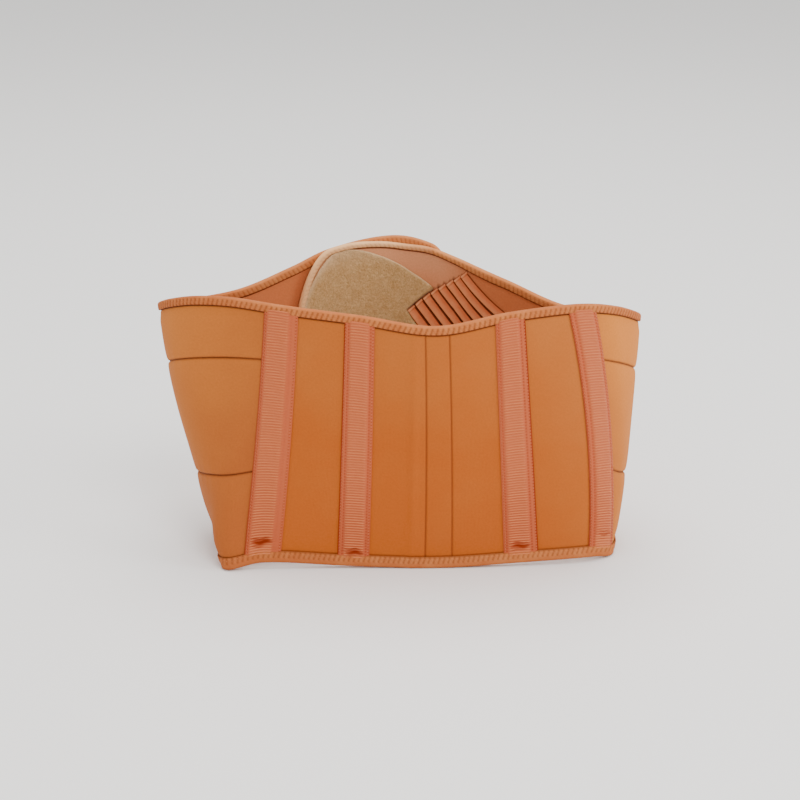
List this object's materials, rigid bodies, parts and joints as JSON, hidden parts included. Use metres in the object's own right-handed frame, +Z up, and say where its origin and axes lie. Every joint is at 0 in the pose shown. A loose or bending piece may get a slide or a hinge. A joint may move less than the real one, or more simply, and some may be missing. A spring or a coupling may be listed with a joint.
{
  "type": "lumbosacral brace",
  "caption": "Wide padded back brace with four ribbed stay casings, elastic pull strips and a hook-and-loop front closure, standing closed on its hem.",
  "frame": {"origin": "on the floor under the middle of the brace's outline", "axes": "+Z up from hem to top rim, -Y out of the back panel with the stays, +Y out of the front closure, +X to the right of someone facing the back panel"},
  "size_m": [0.4834, 0.2334, 0.2901],
  "materials": {
    "shell_cloth": "matt foam-backed knit",
    "padded_side_cloth": "matt foam-backed knit, padded",
    "ribbed_ribbon": "ribbed ribbon with a soft sheen",
    "edge_tape": "woven tape with zigzag stitching",
    "pale_edge_tape": "pale woven tape",
    "loop_pile": "brushed loop pile",
    "elastic": "flat woven elastic",
    "hook_tape": "matt hook tape"
  },
  "bodies": {
    "root": {"back_panel_left": "shell_cloth", "spine_panel": "shell_cloth", "back_panel_right": "shell_cloth", "left_side_lower": "padded_side_cloth", "left_side_middle": "padded_side_cloth", "left_side_upper": "padded_side_cloth", "right_side_lower": "padded_side_cloth", "right_side_middle": "padded_side_cloth", "right_side_upper": "padded_side_cloth", "outer_flap": "shell_cloth", "inner_flap": "shell_cloth", "bottom_binding": "edge_tape", "top_binding": "edge_tape", "inner_flap_binding": "pale_edge_tape", "outer_flap_binding": "edge_tape", "stay_casing_1": "ribbed_ribbon", "stay_casing_2": "ribbed_ribbon", "stay_casing_3": "ribbed_ribbon", "stay_casing_4": "ribbed_ribbon", "loop_patch": "loop_pile", "elastic_strip_1": "elastic", "elastic_strip_2": "elastic", "elastic_strip_3": "elastic", "elastic_strip_4": "elastic", "elastic_strip_5": "elastic", "elastic_strip_6": "elastic", "elastic_strip_7": "elastic", "elastic_strip_8": "elastic", "closure_pad": "hook_tape"}
  },
  "joints": []
}
